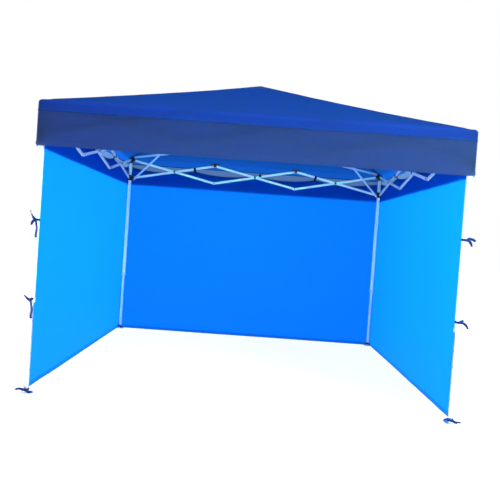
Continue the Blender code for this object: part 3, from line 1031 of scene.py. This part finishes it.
# dark disc at each hole, painted shade in place of the hole: radius, outward
HOLE_PROFILE = ((0.0052, 0.0), (0.0052, 0.0006), (0.0042, 0.0009), (0.0040, 0.0002))
HOLE_FIRST, HOLE_STEP = 0.16, 0.11  # heights of the holes in the inner tube
BUTTON_OUT = 0.0192  # snap button, and knots, from the leg's middle
INNER_FACE = 0.0131  # face of the inner tube from the leg's middle


def square_loop(centre, half, round_r, z, steps=4):
    """Points round a square with rounded corners."""
    points = []
    middle = half - round_r
    for k in range(4):
        turn = math.pi / 2 * k
        for n in range(steps + 1):
            t = math.pi / 2 * n / steps
            x, y = middle + round_r * math.cos(t), middle + round_r * math.sin(t)
            across = x * math.cos(turn) - y * math.sin(turn)
            back = x * math.sin(turn) + y * math.cos(turn)
            points.append(Vector((across, back, z)) + centre)
    return points


def make_leg_details():
    """Ferrule and snap button at each outer leg tube's foot, and dark discs of painted shade for the inner tube's
    holes.
    """
    for corner, (sx, _) in CORNERS.items():
        centre = LEGS[corner]
        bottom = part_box("upper_leg_" + corner)[0][2]
        rings = [square_loop(centre, half, 0.0045, bottom + z) for half, z in FERRULE_PROFILE]
        verts = [v for ring in rings for v in ring]
        faces = ring_faces(len(rings), len(rings[0]), shut=True)
        ferrule = joined("ferrule_" + corner, [(verts, faces)], GREY_NYLON)
        ride_with(softened(ferrule, 0.0006), "leg_" + corner)
        out = Vector((-sx, 0, 0))
        face = centre + out * BUTTON_OUT + UP * (bottom + 0.017)
        button = lathe(BUTTON_PROFILE, face, out, 16)
        rim = lathe(RIM_PROFILE, face, out, 18)
        knob = joined("snap_button_" + corner, [button, rim], ZINC, smooth=True)
        ride_with(softened(knob, 0.0003), "leg_" + corner)
        parts = []
        for k in range(4):
            at = centre + out * INNER_FACE + UP * (HOLE_FIRST + HOLE_STEP * k)
            parts.append(lathe(HOLE_PROFILE, at, out, 18))
        holes = joined("height_holes_" + corner, parts, HOLE_SHADE, smooth=True)
        ride_with(holes, "foot_" + corner)


RIBBON = 0.0185  # ribbon width
RIBBON_THICK = 0.0009
KNOT_HALF = 0.0085
KNOT_TURNS = ((0.55, 0.0065), (-0.6, 0.0048))  # tilt of a turn, how far it bulges out
KNOT_STEPS = 13
FOOT_TIE_Z = 0.024


def knot_parts(at, out, across):
    """Two turns of ribbon drawn tight over each other."""
    parts = []
    for tilt, bulge in KNOT_TURNS:
        lean = (across * math.cos(tilt) + UP * math.sin(tilt)).normalized()
        wide = lean.cross(out).normalized()
        path = []
        for k in range(KNOT_STEPS):
            turn = 2 * math.pi * k / KNOT_STEPS
            bulged = out * (bulge * math.sin(turn) + 0.0055)
            path.append(at + lean * (KNOT_HALF * math.cos(turn)) + bulged)
        parts.append(band(path, [wide] * len(path), RIBBON * 0.62, RIBBON_THICK * 1.6, shut=True))
    return parts


def twisting(path, edge, out, start, gain):
    """Width directions of a ribbon that turns from edge towards out along its path."""
    turns = [start + gain * k / len(path) for k in range(len(path))]
    return [(edge * math.cos(t) + out * math.sin(t)).normalized() for t in turns]


def make_tie(name, corner, z, out, across, tails, body, long_tail=None):
    """A ribbon round a leg: loop, knot and loose ends, each end a list of (across, out, up).

    long_tail is an end of its own, made as a mesh of its own.
    """
    centre = LEGS[corner]
    loop = square_loop(centre, 0.0178, 0.006, z, 3)
    slack = [p + UP * (0.004 * (p - centre).normalized().dot(across)) for p in loop]
    parts = [band(slack, [UP] * len(slack), RIBBON * 0.8, RIBBON_THICK, shut=True)]
    knot = centre + out * BUTTON_OUT + UP * z
    parts += knot_parts(knot, out, across)
    for tail in tails:
        path = smooth_path([knot + across * a + out * b + UP * c for a, b, c in tail], 5)
        parts.append(band(path, twisting(path, UP, out, 0.0, 0.9), RIBBON, RIBBON_THICK))
    tie = joined(name, parts, RIBBON_CLOTH, smooth=True)
    ride_with(tie, body)
    if long_tail:
        path = smooth_path([knot + across * a + out * b + UP * c for a, b, c in long_tail], 6)
        strip = band(path, twisting(path, across, out, 0.5, -0.45), RIBBON, RIBBON_THICK)
        tail = joined(name + "_end", [strip], RIBBON_CLOTH, smooth=True)
        ride_with(tail, body)


def make_ties():
    front = Vector((0, -1, 0))
    across = Vector((1, 0, 0))
    hanging = [
        (0.003, 0.012, -0.004), (0.010, 0.012, -0.030), (0.013, 0.009, -0.065),
        (0.009, 0.008, -0.100), (0.012, 0.008, -0.122),
    ]
    up_left = [
        (-0.004, 0.010, 0.002), (-0.016, 0.013, 0.020),
        (-0.030, 0.010, 0.040), (-0.034, 0.008, 0.062),
    ]
    stub = [
        (-0.004, 0.010, -0.002), (-0.012, 0.014, -0.012),
        (-0.020, 0.011, -0.026), (-0.024, 0.009, -0.038),
    ]
    low_left = [(a * 1.45, b, c * 0.85) for a, b, c in up_left]
    ear = [(0.004, 0.011, 0.003), (0.012, 0.015, 0.012), (0.022, 0.012, 0.010)]
    make_tie("tie_left_high", "fl", 1.183, front, across, [up_left, stub], "leg_fl", hanging)
    make_tie("tie_left_low", "fl", 0.636, front, across, [low_left, ear], "leg_fl", hanging)

    high = [
        (0.006, 0.010, 0.004), (0.026, 0.013, 0.009),
        (0.050, 0.010, 0.004), (0.066, 0.008, -0.006),
    ]
    second = [
        (0.006, 0.011, -0.002), (0.022, 0.013, -0.006),
        (0.036, 0.010, -0.022), (0.044, 0.008, -0.042),
    ]
    drop = [
        (0.006, 0.010, 0.002), (0.028, 0.013, -0.002),
        (0.048, 0.011, -0.018), (0.062, 0.008, -0.040),
    ]
    short = [(0.004, 0.011, 0.003), (0.016, 0.014, 0.014), (0.026, 0.011, 0.010)]
    make_tie("tie_right_high", "fr", 1.250, front, across, [high, second], "leg_fr")
    make_tie("tie_right_low", "fr", 0.690, front, across, [drop, short], "leg_fr")

    flat_left = [
        (-0.006, 0.010, 0.002), (-0.026, 0.016, 0.010),
        (-0.048, 0.018, 0.008), (-0.060, 0.016, 0.000),
    ]
    flat_right = [
        (0.006, 0.010, 0.000), (0.026, 0.016, -0.008),
        (0.046, 0.018, -0.006), (0.060, 0.016, -0.012),
    ]
    tuck = [(-0.004, 0.008, 0.002), (-0.012, 0.012, 0.010), (-0.022, 0.010, 0.006)]
    curl = [(0.004, 0.008, 0.000), (0.014, 0.012, -0.006), (0.024, 0.010, -0.012)]
    for name, corner, tails in (
        ("left", "fl", [flat_left, flat_right]),
        ("right", "fr", [flat_left, flat_right]),
        ("back_left", "bl", [tuck, curl]),
        ("back_right", "br", [tuck, curl]),
    ):
        make_tie("tie_%s_foot" % name, corner, FOOT_TIE_Z, front, across, tails, "foot_" + corner)


# ---------------- build

aim_camera()
light_studio()

COVER_CLOTH = cloth_material(
    "cover_cloth", (0.013, 0.053, 0.19), (0.055, 0.270, 0.60), 0.7, 0.8, sheen=0.02, gloss=0.01)
# Same cloth as the cover, made darker and greyer: painted shade on the upright valance.
VALANCE_SHADED_CLOTH = cloth_material(
    "valance_cloth", (0.014, 0.024, 0.10), (0.36, 0.52, 0.75), 0.5, sheen=0.1, grey=(0.5, 0.5, 0.7))
WALL_CLOTH = cloth_material(
    "wall_cloth", (0.002, 0.08, 0.55), (0.038, 0.36, 0.82), 0.8, sheen=0.02, mottle=0.03)
RIBBON_CLOTH = cloth_material(
    "ribbon_cloth", (0.006, 0.022, 0.15), (0.02, 0.10, 0.5), 0.15, roughness=0.5, sheen=0.1)
DOUBLE_CLOTH = cloth_material(
    "double_cloth", (0.010, 0.046, 0.19), (0.055, 0.286, 0.62), 0.3, 0.8, sheen=0.02, gloss=0.01)
# Darker navy on the seam's piping: partly the binding's own colour, partly painted shadow along the seam.
PIPING_SHADOW_CLOTH = cloth_material(
    "piping_shadow_cloth", (0.007, 0.03, 0.15), (0.05, 0.14, 0.4), 0.2, sheen=0.02, gloss=0.01)
# Same cloth as the cover, made lighter: painted light on the band over the eave.
EDGE_LIT_CLOTH = cloth_material(
    "edge_lit_cloth", (0.02, 0.06, 0.34), (0.055, 0.270, 0.60), 0.7, 0.8, sheen=0.02, gloss=0.01)
WALL_HEM_CLOTH = cloth_material(
    "wall_hem_cloth", (0.004, 0.07, 0.42), (0.038, 0.29, 0.66), 0.8, sheen=0.02, mottle=0.03)
STRAP_CLOTH = cloth_material(
    "strap_cloth", (0.010, 0.012, 0.030), (0.01, 0.01, 0.03), 0.02, roughness=0.8, sheen=0.6)
POWDER = powder_coat()
NYLON = moulded_nylon()
ZINC = zinc_plate()
GREY_NYLON = plain_finish("ferrule_nylon", (0.62, 0.63, 0.65), 0.42)
# Dark grey for the discs on the inner tube: painted shade standing in for the holes.
HOLE_SHADE = plain_finish("hole_painted_shade", (0.10, 0.10, 0.11), 0.5)

finishes = {"white_steel": POWDER, "zinc_steel": ZINC, "black_nylon": NYLON}
for row in frame["record"]["subparts"]:
    if row["material_slot"] in finishes:
        part = frame["nodes"][row["node"]]
        for material_slot in part.material_slots:
            material_slot.material = finishes[row["material_slot"]]

make_cover()
make_trim()
make_walls()
make_bolt_caps()
make_saddles()
make_straps()
make_leg_details()
make_ties()

floor = plain_mesh("floor", *block((-30, -30, -0.02), (30, 30, 0.0)), floor_material())
